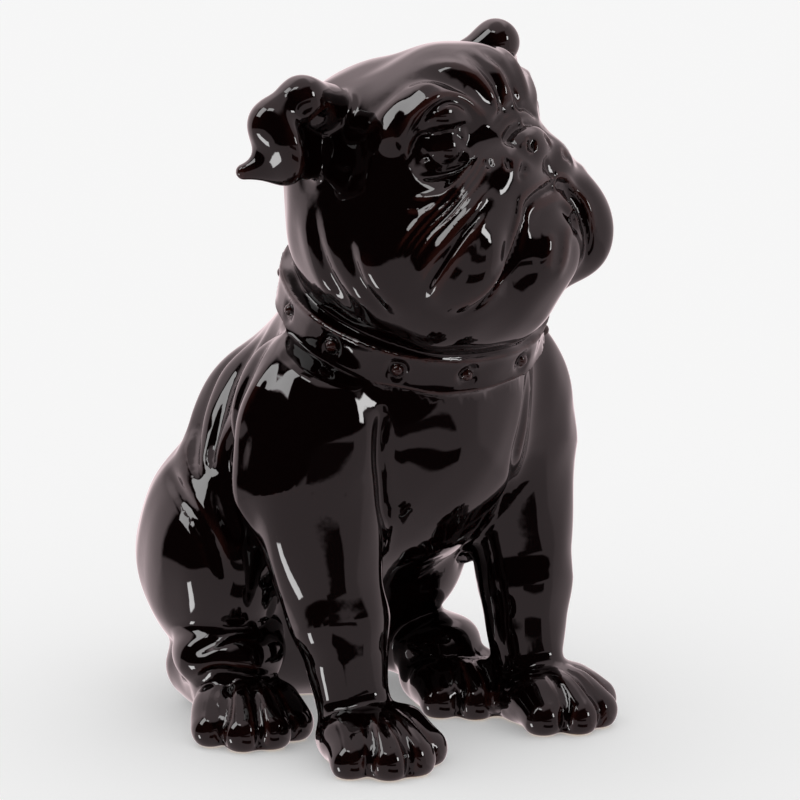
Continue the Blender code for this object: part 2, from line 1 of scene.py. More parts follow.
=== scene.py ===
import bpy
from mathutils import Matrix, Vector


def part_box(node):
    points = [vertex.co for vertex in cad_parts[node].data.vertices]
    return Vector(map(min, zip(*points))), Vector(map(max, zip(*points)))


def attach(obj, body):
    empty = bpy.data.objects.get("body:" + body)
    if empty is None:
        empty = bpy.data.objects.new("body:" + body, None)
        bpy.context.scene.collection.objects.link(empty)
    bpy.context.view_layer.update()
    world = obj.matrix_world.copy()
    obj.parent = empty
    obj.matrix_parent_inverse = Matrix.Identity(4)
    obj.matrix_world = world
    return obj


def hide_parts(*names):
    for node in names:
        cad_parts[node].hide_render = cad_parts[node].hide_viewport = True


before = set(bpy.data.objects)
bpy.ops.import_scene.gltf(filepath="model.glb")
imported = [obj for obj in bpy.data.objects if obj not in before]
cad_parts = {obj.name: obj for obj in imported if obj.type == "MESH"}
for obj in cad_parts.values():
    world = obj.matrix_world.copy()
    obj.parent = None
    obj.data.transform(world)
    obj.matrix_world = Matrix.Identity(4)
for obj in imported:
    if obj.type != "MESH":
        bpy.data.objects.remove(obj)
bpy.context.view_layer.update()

import copy
import math

import bmesh
import bpy
import numpy as np
from mathutils import Matrix, Vector

bl_info = {
    "name": "Sitting bulldog figurine",
    "version": (1, 0, 0),
    "blender": (4, 5, 0),
    "location": "3D View > Sidebar > Bulldog",
    "description": "A glazed ceramic bulldog with a studded collar, and the studio it stands in",
    "category": "Add Mesh",
}

# The camera, in metres
CAMERA_PLACE = (-0.7818, -1.0074, 0.3930)
CAMERA_TARGET = (0.0190, 0.0026, 0.1356)

NODE = "bulldog_figurine"
LOW, HIGH = (np.array(corner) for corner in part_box(NODE))

# The same units as the model's: one is 1/278 of its height, and the height is in metres
HEIGHT = 0.300
UNITS_TALL = 278.0
UNIT = HEIGHT / UNITS_TALL
FAR = 1e3
TINY = 1e-9
WIDEST_BLEND = 30.0

# How the masses join, in units: the neck with the gutter cut for the collar, the collar with the neck,
# the head with all of that, and the soles with the floor
GUTTER_BLEND = 2.0
COLLAR_BLEND = 1.6
HEAD_BLEND = 4.0
FLOOR_BLEND = 2.0

# Directions and steps of the samples that give the field's slope and bend, in units
CORNERS = np.array([(1, 1, 1), (1, -1, -1), (-1, 1, -1), (-1, -1, 1)], float)
SLOPE_STEP = 0.08
BEND_STEP = 0.7
LEAST_SLOPE_SQUARED = 0.05

# Skin sizes of the passes, in units, and the most triangles the piece keeps
SKINS = (3.2, 1.9, 1.05)
TRIANGLES = 195000

# The slight unevenness of hand-worked clay, in units: its waves and the depth of the longest
WAVE_SEED = 5
WAVE_COUNT = 8
WAVE_LENGTHS = (14.0, 40.0)
WAVE_DEPTH = 0.22

# Sizes of the collar, in metres
COLLAR_WIDTH = 0.0165
COLLAR_THICKNESS = 0.0055
STUD_RADIUS = 0.0027
STUD_DIMPLE_RADIUS = 0.0050
STUD_COUNT = 12

# The collar's finer shape, in units: its rounded edges, its raised rims, how deep it goes into the neck,
# how much narrower the gutter is on each side, how softly dimples and studs join, and its rough beads
COLLAR_ROUNDING = 1.3
COLLAR_RIM = 0.8
COLLAR_ROOT = 4.0
GUTTER_SHY = 0.4
DIMPLE_BLEND = 1.2
STUD_BLEND = 0.4
COLLAR_BEADS = 72
BEAD_INSET = 0.5

# The dimples' depth and how far the studs stand out of it, as shares of their own radii
DIMPLE_DEPTH = 0.42
STUD_RISE = 0.35

# How the mesh settles on the form: the share it eases by, and the most of the last pull, in units
EASING = 0.4
LAST_PULL = 0.4

# How strokes are laid: the pulls onto the form and their reach, in units, and a stroke's reach in widths
LAYING_PULLS = 4
LAYING_REACH = 12.0
STROKE_REACH = 2.6

# Scale and detail of the glaze's patterns: the bare edge, where the glaze thins, the clay and the ripple
EDGE_NOISE = (160.0, 3.0)
CLOUD_NOISE = (45.0, 4.0)
GRAIN_NOISE = (900.0, 5.0)
RIPPLE_NOISE = (120.0, 2.0)

# The bare edge, in metres: how far it wavers, and the heights above it where the glaze begins and is full
EDGE_WAVER = 0.0016
EDGE_STARTS = 0.0006
EDGE_ENDS = 0.0009

# Between which bends the glaze runs thin, how rough the clay is, and how much rougher smeared glaze is
THIN_BENDS = (0.05, 0.3)
CLAY_ROUGHNESS = 0.85
SMEARED = 1.6

# What the glaze mirrors. The pale floor ends at a tilted horizon, and panels stand about the figure:
# azimuth, elevation, half width, half height and roll in degrees, softness, and brightness
HORIZON_TOWARDS = 70.0
HORIZON_TILT = 13.0
FLOOR_MIRRORED = 0.62
ROOM_MIRRORED = 0.012
PANELS = (
    (165, 12, 57, 46, 0, 0.25, 1.2),
    (78, 14, 46, 46, 0, 0.15, 0.8),
    (155, 62, 35, 24, 0, 0.2, 1.8),
    (0, 88, 30, 30, 0, 0.15, 0.9),
    (-12, -39, 24, 8, 0, 0.03, 0.02),
    (-22, -8, 26, 5, 0, 0.03, 0.03),
    (24, 20, 4, 8, -15, 0.012, 13.0),
    (-113, -33, 5, 7, 0, 0.012, 10.0),
    (-73, 59, 8, 4, 0, 0.015, 7.0),
    (-112, 42, 11, 17, 0, 0.015, 6.0),
)
PANEL_SOCKETS = (
    ("Direction", "NodeSocketVector"),
    ("Centre", "NodeSocketVector"),
    ("Across", "NodeSocketVector"),
    ("Upward", "NodeSocketVector"),
    ("Half Width", "NodeSocketFloat"),
    ("Half Height", "NodeSocketFloat"),
    ("Softness", "NodeSocketFloat"),
)

# The softness of the horizon's edge, and between which brightnesses a panel takes the lights' colour
HORIZON_EDGE = (-0.06, 0.02)
LIT_LEVELS = (1.5, 4.0)


class Space:
    """A local frame of the sculpture, in units: where its origin is and how it is turned."""

    def __init__(self, origin, yaw=0.0, pitch=0.0, roll=0.0):
        turn = (
            Matrix.Rotation(math.radians(yaw), 3, "Z")
            @ Matrix.Rotation(math.radians(-pitch), 3, "X")
            @ Matrix.Rotation(math.radians(-roll), 3, "Y")
        )
        self.origin = np.array(origin, float)
        self.turn = np.array(turn, float)

    def inward(self, points):
        return (points - self.origin) @ self.turn

    def outward(self, points):
        return np.asarray(points, float) @ self.turn.T + self.origin


BODY = Space((0, 0, 0))
HIPS = Space((-8, 28, 0), yaw=-14)
HEAD = Space((0, -43, 205), yaw=14, pitch=25, roll=5)
COLLAR = Space((0.5, -22, 172), yaw=3, pitch=-23, roll=6)
COLLAR_RADIUS = 54.0
EAR_ROOT = 42.0

# Each paw: its space, where it stands in it and how far it turns, in degrees
PAWS = (
    (BODY, (-46.5, -55.5), -8),
    (BODY, (43.5, -55), 8),
    (HIPS, (-48.5, -36), -10),
    (HIPS, (46, -33), 10),
)


def blended(a, b, width):
    """The lower of two fields, with the corner between them filled over that width."""
    if width <= 0:
        return np.minimum(a, b)
    reach = np.maximum(width - np.abs(a - b), 0) / width
    return np.minimum(a, b) - reach * reach * width / 4


class Ball:
    """An egg-shaped mass: its centre, its three radii and how it is turned, in degrees."""

    def __init__(self, space, centre, radii, turn=(0, 0, 0), blend=6.0, mirrored=False, cut=False):
        self.space = space
        self.centre = np.array(centre, float)
        self.radii = np.array(radii, float)
        spin = [Matrix.Rotation(math.radians(angle), 3, axis) for angle, axis in zip(turn, "XYZ")]
        self.turn = np.array(spin[2] @ spin[1] @ spin[0], float)
        self.blend = blend
        self.mirrored = mirrored
        self.cut = cut
        self.reach = self.radii.max() + WIDEST_BLEND

    def middle(self):
        return self.centre

    def distance(self, points):
        local = (points - self.centre) @ self.turn
        share = np.linalg.norm(local / self.radii, axis=1)
        slope = np.linalg.norm(local / self.radii**2, axis=1)
        return share * (share - 1) / np.maximum(slope, TINY)

    def beads(self):
        """The balls that make up the mass, roughly: a centre, radii and a turn for each."""
        return [(self.centre, self.radii, self.turn)]


class Limb:
    """A rounded, tapered mass between two points, with a radius at each."""

    def __init__(self, space, start, end, radii, blend=6.0, mirrored=False, cut=False):
        self.space = space
        self.start = np.array(start, float)
        self.end = np.array(end, float)
        self.radii = radii
        self.blend = blend
        self.mirrored = mirrored
        self.cut = cut
        self.reach = np.linalg.norm(self.end - self.start) / 2 + max(radii) + WIDEST_BLEND

    def middle(self):
        return (self.start + self.end) / 2

    def distance(self, points):
        along = self.end - self.start
        share = np.clip((points - self.start) @ along / (along @ along), 0, 1)
        away = points - self.start - share[:, None] * along
        return np.linalg.norm(away, axis=1) - (self.radii[0] + (self.radii[1] - self.radii[0]) * share)

    def beads(self):
        count = 2 + int(np.linalg.norm(self.end - self.start) / (0.5 * min(self.radii)))
        made = []
        for share in np.linspace(0, 1, count):
            radius = self.radii[0] + (self.radii[1] - self.radii[0]) * share
            made.append((self.start + (self.end - self.start) * share, np.full(3, radius), np.eye(3)))
        return made


class Collar:
    """A round band about the neck, in a gutter, with domed studs in dimples all the way round."""

    def __init__(self, space, radius):
        self.space = space
        self.radius = radius
        self.reach = 1.5 * radius
        self.half_width = COLLAR_WIDTH / UNIT / 2
        self.thickness = COLLAR_THICKNESS / UNIT
        self.stud = STUD_RADIUS / UNIT
        self.dimple = STUD_DIMPLE_RADIUS / UNIT
        self.cut = False
        self.mirrored = False

    def beads(self):
        """Balls strung around the neck where the band is, fine enough to stand for it."""
        reach = self.radius - self.half_width + BEAD_INSET
        made = []
        for angle in np.linspace(0, 2 * math.pi, COLLAR_BEADS, endpoint=False):
            centre = np.array((reach * math.sin(angle), -reach * math.cos(angle), 0))
            made.append((centre, np.full(3, self.half_width), np.eye(3)))
        return made

    def gutter(self, points):
        """What is cut away from the neck, a little narrower than the band that fills it."""
        round_about = np.hypot(points[:, 0], points[:, 1])
        inner = self.radius - self.thickness - round_about
        return np.maximum(inner, np.abs(points[:, 2]) - self.half_width + GUTTER_SHY)

    def band(self, points):
        """The band with its rounded rims, its dimples and its studs."""
        round_about = np.hypot(points[:, 0], points[:, 1])
        rim = COLLAR_RIM * np.clip(np.abs(points[:, 2]) / self.half_width, 0, 1) ** 4
        depth = self.thickness + COLLAR_ROOT
        outside = np.abs(round_about - self.radius + depth / 2 - rim) - depth / 2 + COLLAR_ROUNDING
        beside = np.abs(points[:, 2]) - self.half_width + COLLAR_ROUNDING
        band = np.hypot(np.maximum(outside, 0), np.maximum(beside, 0)) - COLLAR_ROUNDING
        band = band + np.minimum(np.maximum(outside, beside), 0)

        sector = 2 * math.pi / STUD_COUNT
        angle = np.arctan2(points[:, 0], -points[:, 1]) % sector - sector / 2
        place = np.stack([round_about * np.sin(angle), round_about * np.cos(angle), points[:, 2]], axis=1)
        hollow_depth = DIMPLE_DEPTH * self.dimple
        hollow = (self.dimple**2 + hollow_depth**2) / (2 * hollow_depth)
        bowl = np.linalg.norm(place - (0, self.radius + hollow - hollow_depth, 0), axis=1) - hollow
        seat = (0, self.radius - hollow_depth + STUD_RISE * self.stud, 0)
        dome = np.linalg.norm(place - seat, axis=1) - self.stud
        return blended(-blended(-band, bowl, DIMPLE_BLEND), dome, STUD_BLEND)


class Stroke:
    """A fold that stands up, or a crease pressed in, along a smooth path laid on the form."""

    def __init__(self, space, points, width, height, mirrored=False, ends=(0.3, 0.3)):
        self.space = space
        self.width = width
        self.height = height
        self.paired = mirrored
        self.path = through(np.array(points, float))
        share = np.linspace(0, 1, len(self.path))
        self.fade = eased(share / ends[0]) * eased((1 - share) / ends[1])

    def twin(self):
        """The same stroke on the other side of its space."""
        other = copy.copy(self)
        other.path = self.path * (-1, 1, 1)
        return other

    def lay(self, figure):
        """Moves the path onto the form."""
        world = pulled(figure.form, self.space.outward(self.path), LAYING_PULLS, LAYING_REACH)
        self.path = self.space.inward(world)
        self.middle = (self.path.min(axis=0) + self.path.max(axis=0)) / 2
        spread = np.linalg.norm(self.path - self.middle, axis=1).max()
        self.reach = spread + STROKE_REACH * self.width

    def raised(self, points):
        """How far the stroke lifts the skin at each point of its space."""
        best = np.full(len(points), FAR)
        fade = np.zeros(len(points))
        for index in range(len(self.path) - 1):
            start, end = self.path[index], self.path[index + 1]
            along = end - start
            share = np.clip((points - start) @ along / max(along @ along, TINY), 0, 1)
            away = ((points - start - share[:, None] * along) ** 2).sum(axis=1)
            closer = away < best
            best[closer] = away[closer]
            local = self.fade[index] + (self.fade[index + 1] - self.fade[index]) * share
            fade[closer] = local[closer]
        return self.height * fade * np.exp(-best / self.width**2)


def eased(share):
    """A share from 0 to 1 that starts and stops gently."""
    share = np.clip(share, 0, 1)
    return share * share * (3 - 2 * share)


def through(points, steps=5):
    """A smooth path through the points, as a Catmull-Rom curve."""
    padded = np.concatenate([[2 * points[0] - points[1]], points, [2 * points[-1] - points[-2]]])
    made = []
    for index in range(len(points) - 1):
        a, b, c, d = padded[index : index + 4]
        for t in np.arange(steps) / steps:
            bend = (2 * a - 5 * b + 4 * c - d) * t**2
            twist = (3 * b - a - 3 * c + d) * t**3
            made.append(0.5 * (2 * b + (c - a) * t + bend + twist))
    made.append(points[-1])
    return np.array(made)


def between(first, last, count):
    """Paths that go over from the first to the last in even steps, both of them included."""
    first, last = np.array(first, float), np.array(last, float)
    return [first + (last - first) * share for share in np.linspace(0, 1, count)]


def torso_masses():
    """Rib cage, loin, brisket, neck and shoulders."""
    return [
        Ball(BODY, (0, 18, 109), (58, 55, 57), blend=0),
        Ball(BODY, (0, 37, 88), (60, 56, 55), blend=26),
        Ball(BODY, (0, -28, 124), (42, 34, 52), blend=20),
        Ball(BODY, (0, -38, 126), (36, 28, 30), blend=16),
        Limb(BODY, (0, -9, 146), (0, -36, 200), (48, 45), blend=18),
        Ball(BODY, (46, -19, 125), (30, 34, 41), blend=8, mirrored=True),
    ]


def foreleg_masses():
    """The upper and the lower part of both forelegs."""
    return [
        Limb(BODY, (50, -22, 104), (48.5, -36, 54), (29, 18.5), blend=7, mirrored=True),
        Limb(BODY, (48, -36, 54), (45, -41, 24), (18.8, 14.8), blend=5, mirrored=True),
    ]


def paw_masses(space, centre, outward):
    """A paw on the floor: its pad and four toes, turned by some degrees."""
    turn = Space((centre[0], centre[1], 0), yaw=outward)
    masses = [Ball(space, turn.outward((0, 0, 9)), (20.5, 25, 14), (0, 0, outward), blend=6)]
    for side, forward in ((-16.5, 13), (-5.8, 22), (5.8, 22), (16.5, 13)):
        root = turn.outward((side * 0.8, 10 - forward, 12))
        tip = turn.outward((side, -forward, 6.5))
        masses.append(Limb(space, root, tip, (9, 8.5), blend=4.0))
    return masses


def hind_leg_masses(side, thigh, thigh_radii, knee, knee_radii):
    """A folded hind leg, with its foot flat on the floor."""
    return [
        Ball(HIPS, (side * thigh[0], thigh[1], thigh[2]), thigh_radii, (12, 0, 0), blend=10),
        Ball(HIPS, (side * knee[0], knee[1], knee[2]), knee_radii, blend=4),
        Limb(HIPS, (side * knee[0], 10, 16), (side * knee[0], -16, 14), (15, 13), blend=8),
    ]


def hind_masses():
    """Rump, hind legs and tail: the near leg lies further out than the far one."""
    masses = [Ball(HIPS, (0, 18, 41), (52, 42, 46), blend=20)]
    masses += hind_leg_masses(-1, (49, 1, 66), (28, 42, 44), (49, -20, 30), (23, 24, 17))
    masses += hind_leg_masses(1, (37, 5, 68), (26, 40, 42), (44, -17, 23), (18, 23, 12))
    masses.append(Limb(HIPS, (0, 58, 30), (4, 66, 24), (9, 5), blend=5))
    return masses


def head_masses():
    """Skull, cheeks, muzzle, chin, lips and nose."""
    return [
        Ball(HEAD, (0, -6, 28), (45, 43, 39.5), blend=0),
        Ball(HEAD, (-6, 14, 38), (39, 31, 33), blend=10),
        Ball(HEAD, (0, -24, 41), (34, 28, 22), blend=10),
        Ball(HEAD, (32, -4, -6), (24, 34, 36), blend=16, mirrored=True),
        Ball(HEAD, (-5, -8, -31), (34.5, 31, 22), blend=14),
        Ball(HEAD, (0, -32, 2), (30, 20, 24), blend=12),
        Ball(HEAD, (-1, 20, 5), (51, 39, 47), blend=14),
        Ball(HEAD, (-2, -30.5, -22), (25, 20, 21), blend=5),
        Ball(HEAD, (-34, -28, -9), (13.5, 19, 24), (0, 20, 0), blend=8),
        Ball(HEAD, (-23, -37, -3), (14, 13, 15), blend=8),
        Ball(HEAD, (27.5, -32.5, -15.5), (15.5, 20, 24), (0, -8, 0), blend=10),
        Ball(HEAD, (13, -42, 6), (15, 12.5, 12), blend=6, mirrored=True),
        Limb(HEAD, (0, -44, 25), (11, -43, 23), (6, 4.5), blend=5, mirrored=True),
        Ball(HEAD, (0, -49, 13), (12, 8, 8.5), blend=3),
    ]


def eye_masses():
    """An arched brow with a bulb of skin under it, the socket, and the eyeball in that."""
    return [
        Limb(HEAD, (-40, -24, 36), (-30, -36, 42), (5, 6), blend=8),
        Limb(HEAD, (-30, -36, 42), (-14, -42, 32), (6, 5), blend=8),
        Limb(HEAD, (36, -22, 35), (26, -34, 40), (5, 5), blend=8),
        Limb(HEAD, (26, -34, 40), (13, -42, 31), (5, 5), blend=8),
        Ball(HEAD, (41, -44, 24), (14, 14, 12), blend=5, mirrored=True, cut=True),
        Ball(HEAD, (-27, -39, 35), (10, 8, 6), blend=5),
        Ball(HEAD, (23, -36, 33.5), (8, 7, 6), blend=5),
        Ball(HEAD, (-28, -34, 24), (8, 8, 8), blend=1),
        Ball(HEAD, (25, -33, 24), (8, 7.5, 7.5), blend=1),
    ]


def ear_masses(side, forward, spread, lift):
    """A folded ear: a ridge out from the skull, a wall behind, and a flap that runs to a tip."""

    def at(x, y, z):
        return (side * (EAR_ROOT + spread * (x - EAR_ROOT)), y - forward, z + lift)

    return [
        Limb(HEAD, (side * EAR_ROOT, 0, 57), at(58, -4, 61), (9, 8.5), blend=5),
        Limb(HEAD, at(58, -4, 61), at(70, 5, 57.5), (8.5, 7.5), blend=4),
        Ball(HEAD, at(68.5, 6, 49.5), (7.5, 13 * spread, 15.5), (0, 0, side * 20), blend=5),
        Ball(HEAD, at(54, 10, 49), (16, 6, 16), blend=6),
        Limb(HEAD, at(68, 10, 42), at(77, 20, 44.5), (6, 2.8), blend=6),
        Ball(HEAD, at(53, -4, 44), (5.5, 9, 12), (0, side * 12, 0), blend=3, cut=True),
    ]


def body_masses():
    """All that is below the head."""
    masses = torso_masses() + hind_masses() + foreleg_masses()
    for space, centre, outward in PAWS:
        masses += paw_masses(space, centre, outward)
    return masses


def folds(space, first, last, count, width, height, mirrored=True):
    """Folds side by side: rounded ridges, with a narrower crease pressed in between each two."""
    paths = between(first, last, count)
    made = [Stroke(space, path, width, height, mirrored) for path in paths]
    for a, b in zip(paths, paths[1:]):
        made.append(Stroke(space, (a + b) / 2, 0.6 * width, -height, mirrored))
    return made


def brow_strokes():
    """Furrows over the nose, and the arched skin over each eye."""
    arch = [(43, -24, 33), (38, -36, 40), (31, -45, 42), (25, -48, 39), (19, -49, 32), (14, -49, 27)]
    under_arch = [(42, -28, 30), (36, -39, 37), (30, -44, 38.5), (24, -46, 35), (19, -46, 29)]
    made = [
        Stroke(HEAD, arch, 2.3, 1.5, True),
        Stroke(HEAD, under_arch, 1.4, -1.8, True),
        Stroke(HEAD, [(8, -49, 29), (11, -52, 38), (16, -47, 49), (24, -34, 60)], 3.0, 1.5, True),
        Stroke(HEAD, [(20, -48, 42), (27, -42, 50), (34, -30, 56)], 3.4, -1.3, True),
        Stroke(HEAD, [(36, -35, 49), (43, -22, 46), (46, -8, 37)], 3.8, 1.4, True),
        Stroke(HEAD, [(-2.5, -53, 29), (-2.5, -54, 38), (-1, -50, 50)], 2.6, 1.0),
    ]
    for x in (-7.4, 2.4):
        made.append(Stroke(HEAD, [(x + 1, -49, 27), (x, -53, 33), (x - 0.4, -54, 40)], 1.5, -3.2))
        made.append(Stroke(HEAD, [(x, -53, 34), (x, -52, 44), (x + 0.5, -42, 56)], 3.0, -1.4))
    return made


def eye_strokes():
    """Lids about the eyeball, the crease around them, and the folds of skin below."""
    upper_lid = [(36, -30, 23.5), (34.5, -32, 29), (29, -38.5, 31.5), (26, -42, 27), (26, -42, 21.5)]
    lower_lid = [(36, -30, 23.5), (35, -31, 19), (31, -35.5, 16.3), (27.5, -40, 17), (26, -42, 21.5)]
    over_lid = [(45, -23, 19), (40, -27, 25), (36.5, -30, 31), (31, -36.5, 34.5), (26, -41.5, 32.5)]
    over_lid += [(23.5, -44.5, 27)]
    under_lid = [(42, -26, 17), (37.5, -29, 14), (33, -33, 12.7), (28, -39.5, 13.5), (24, -44, 17)]
    return [
        Stroke(HEAD, upper_lid, 1.5, 2.2, True, (0.15, 0.15)),
        Stroke(HEAD, lower_lid, 1.5, 1.9, True, (0.15, 0.15)),
        Stroke(HEAD, over_lid, 1.3, -1.7, True),
        Stroke(HEAD, under_lid, 1.5, -1.2, True),
        Stroke(HEAD, [(48, -24, 12), (44, -30, 8), (38, -36, 7), (31, -41, 8)], 1.7, 0.7, True),
        Stroke(HEAD, [(51, -22, 9), (48, -28, 4), (43, -34, 3)], 1.7, 0.6, True),
    ]


def cheek_strokes():
    """Fine folds from the eye down the cheek, and two broad ones below them."""
    made = folds(
        HEAD,
        [(16, -44, 22), (28, -42, 13), (41, -37, 7), (51, -24, 0), (55, -12, -7)],
        [(23, -47, 12), (33, -45, 6), (44, -38, -1), (51, -28, -6), (54, -16, -13)],
        4, 1.7, 0.9,
    )
    made += folds(
        HEAD,
        [(27, -49, 6), (38, -44, -2), (46, -36, -8), (51, -26, -14), (53, -15, -21)],
        [(34, -47, -3), (42, -42, -10), (48, -33, -17), (51, -24, -23), (51, -14, -30)],
        2, 3.4, 2.1,
    )
    for start in between((24, -47, 13), (14, -54, 8), 3):
        made.append(Stroke(HEAD, [start, start + (2, 0, -4)], 1.0, -1.4, True))
    return made


def neck_strokes():
    """Loose skin that hangs in soft folds from behind the jaw to the collar."""
    return folds(
        HEAD,
        [(48, 22, 30), (52, 26, 2), (51, 23, -14)],
        [(55, -1, 6), (55, -2, -14), (50, -4, -30)],
        3, 5.0, 1.1,
    )


def muzzle_strokes():
    """The rolled lips and the creases along them, the chin and the nose."""
    near_rim = [(5, -54, -1), (-8, -55, -3), (-18, -54, -5), (-22, -50, -10), (-26, -47, -17)]
    near_rim += [(-30, -44, -24), (-36, -40, -29), (-42, -30, -33), (-49, -14, -30)]
    near_crease = [(5, -54, -4), (-7, -54, -6), (-15, -53, -9), (-19, -49, -14), (-23, -46, -20)]
    near_crease += [(-27, -43, -27), (-33, -39, -33), (-40, -29, -37), (-46, -14, -35)]
    far_rim = [(5, -54, -1), (12, -55, -4), (18, -53, -10), (21, -49, -18), (22, -45, -27)]
    far_crease = [(5, -54, -4), (11, -54, -7), (15, -52, -12), (17, -49, -19), (18, -45, -27)]
    far_crease += [(20, -39, -35)]
    lower_lip = [(-15, -50, -13), (-7, -53, -10), (4, -53, -9), (11, -52, -13), (13, -49, -19)]
    over_nose = [(0, -52, 22), (7, -51, 21), (11.5, -48, 16), (12, -48, 9)]
    return [
        Stroke(HEAD, near_rim, 1.9, 1.3, False, (0.02, 0.3)),
        Stroke(HEAD, near_crease, 1.9, -3.0, False, (0.02, 0.3)),
        Stroke(HEAD, far_rim, 1.9, 1.0, False, (0.02, 0.3)),
        Stroke(HEAD, far_crease, 1.8, -2.8, False, (0.02, 0.3)),
        Stroke(HEAD, lower_lip, 2.4, 1.5),
        Stroke(HEAD, [(14, -50, -15), (11, -50, -19), (8, -50, -22)], 1.4, -2.0),
        Stroke(HEAD, [(9, -50, -19), (0, -51, -23), (-4, -49, -29), (-8, -44, -39)], 2.6, 1.1),
        Stroke(HEAD, [(-8, -51, -18), (-11, -49, -26), (-15, -45, -34)], 2.6, 1.0),
        Stroke(HEAD, [(1, -57, 6), (3, -55, -2)], 1.3, -2.0, False, (0.2, 0.1)),
        Stroke(HEAD, [(12, -54, 6), (16, -54, 5), (19, -52, 2)], 1.4, -1.4, True),
        Stroke(HEAD, [(4.6, -57, 11.5), (7.5, -55, 14)], 1.8, -3.4, True, (0.3, 0.3)),
        Stroke(HEAD, over_nose, 1.5, -1.8, True, (0.05, 0.3)),
        Stroke(HEAD, [(0, -47, 31), (8, -46, 29), (14, -43, 25)], 1.6, -1.6, True, (0.05, 0.3)),
    ]


def body_strokes():
    """Chest creases, loose skin behind the collar and over the flank, and the ankle rolls."""
    near_chest = [(-38, -52, 140), (-40, -53, 124), (-37, -48, 106), (-32, -43, 88)]
    far_chest = [(30, -54, 148), (22, -58, 128), (19, -58, 115), (26, -50, 100), (28, -40, 86)]
    shoulder = [(55, -20, 158), (70, -17, 145), (73, -10, 125), (72, -12, 104), (68, -18, 86)]
    behind_shoulder = [(52, -8, 160), (66, -8, 146), (69, 0, 125), (68, -2, 104), (65, -10, 86)]
    made = [Stroke(BODY, near_chest, 3.0, -3.6), Stroke(BODY, far_chest, 3.0, -3.6)]
    made += folds(
        BODY,
        [(46, 4, 167), (60, 2, 157), (68, 2, 138), (66, 12, 120), (64, 12, 106)],
        [(34, 44, 162), (44, 58, 138), (54, 52, 116), (64, 36, 100), (66, 24, 90)],
        4, 4.6, 2.1,
    )
    made += [
        Stroke(BODY, shoulder, 4.5, 2.6, True),
        Stroke(BODY, behind_shoulder, 2.6, -2.6, True),
        Stroke(HIPS, [(62, 6, 100), (66, -12, 95), (63, -34, 80), (58, -41, 60)], 2.8, -3.2, True),
        Stroke(HIPS, [(72, -28, 30), (62, -36, 40), (51, -38, 43), (38, -39, 39)], 2.2, -2.2, True),
        Stroke(HIPS, [(70, -26, 18), (64, -40, 27), (54, -44, 27), (38, -42, 22)], 2.2, -2.8, True),
    ]
    flank = [(66, 20, 101), (71, 8, 90), (69, 0, 78)]
    for path in between(flank, [(60, 6, 98), (61, -2, 88), (62, -8, 78)], 2):
        made.append(Stroke(BODY, path, 2.6, -2.0, True))
    return made


def paw_strokes(space, centre, outward):
    """The creases between the toes of a paw."""
    turn = Space((centre[0], centre[1], 0), yaw=outward)
    made = []
    for side in (-11.2, 0.0, 11.2):
        reach = 26 - 0.35 * abs(side)
        path = [(side * 0.75, -6, 26), (side * 0.9, 8 - reach, 20), (side, -reach, 10), (side, -reach, 3)]
        made.append(Stroke(space, turn.outward(path), 1.7, -3.0, False, (0.4, 0.1)))
    return made


def all_strokes():
    """Every fold and crease of the dog."""
    made = brow_strokes() + eye_strokes() + cheek_strokes() + neck_strokes() + muzzle_strokes()
    made += body_strokes()
    for space, centre, outward in PAWS:
        made += paw_strokes(space, centre, outward)
    return made


def waves():
    """Slow waves through the clay, each with its direction, its phase and its depth, in units."""
    pick = np.random.default_rng(WAVE_SEED)
    made = []
    for length in np.geomspace(WAVE_LENGTHS[0], WAVE_LENGTHS[1], WAVE_COUNT):
        way = pick.normal(size=3)
        way *= 2 * math.pi / length / np.linalg.norm(way)
        made.append((way, pick.uniform(0, 2 * math.pi), WAVE_DEPTH * length / WAVE_LENGTHS[1]))
    return made


def grouped(masses, places):
    """A group of masses as one field."""
    value = np.full(places.count, FAR)
    for mass in masses:
        local = places.of(mass)
        near = np.flatnonzero(((local - mass.middle()) ** 2).sum(axis=1) < mass.reach**2)
        if not len(near):
            continue
        own = mass.distance(local[near])
        if mass.cut:
            value[near] = -blended(-value[near], own, mass.blend)
        else:
            value[near] = blended(value[near], own, mass.blend)
    return value


class Figure:
    """The masses and what is pressed into them, as one field: below zero inside the clay."""

    def __init__(self, body, collar, head, strokes):
        self.body = body
        self.collar = collar
        self.head = head
        self.strokes = strokes + [stroke.twin() for stroke in strokes if stroke.paired]
        self.waves = waves()
        for stroke in self.strokes:
            stroke.lay(self)

    def form(self, points):
        """The masses and the collar, with nothing pressed in."""
        places = Places(points)
        value = grouped(self.body, places)
        around = places.of(self.collar)
        near = np.flatnonzero((around**2).sum(axis=1) < self.collar.reach**2)
        if len(near):
            room = self.collar.gutter(around[near])
            value[near] = -blended(-value[near], room, GUTTER_BLEND)
            value[near] = blended(value[near], self.collar.band(around[near]), COLLAR_BLEND)
        return blended(value, grouped(self.head, places), HEAD_BLEND)

    def value(self, points):
        """The whole figure: the strokes, the waves and the flat soles too."""
        value = self.form(points)
        places = Places(points)
        for stroke in self.strokes:
            local = places.of(stroke)
            near = np.flatnonzero(((local - stroke.middle) ** 2).sum(axis=1) < stroke.reach**2)
            if len(near):
                value[near] -= stroke.raised(local[near])
        for way, phase, depth in self.waves:
            value += depth * np.sin(points @ way + phase)
        return -blended(-value, points[:, 2], FLOOR_BLEND)


class Places:
    """The same points as seen from each space, worked out once."""

    def __init__(self, points):
        self.points = points
        self.count = len(points)
        self.seen = {}

    def of(self, thing):
        """The points in the thing's space, all on one side of it if the thing is mirrored."""
        mirrored = getattr(thing, "mirrored", False)
        key = (id(thing.space), mirrored)
        if key not in self.seen:
            local = thing.space.inward(self.points)
            if mirrored:
                local[:, 0] = np.abs(local[:, 0])
            self.seen[key] = local
        return self.seen[key]


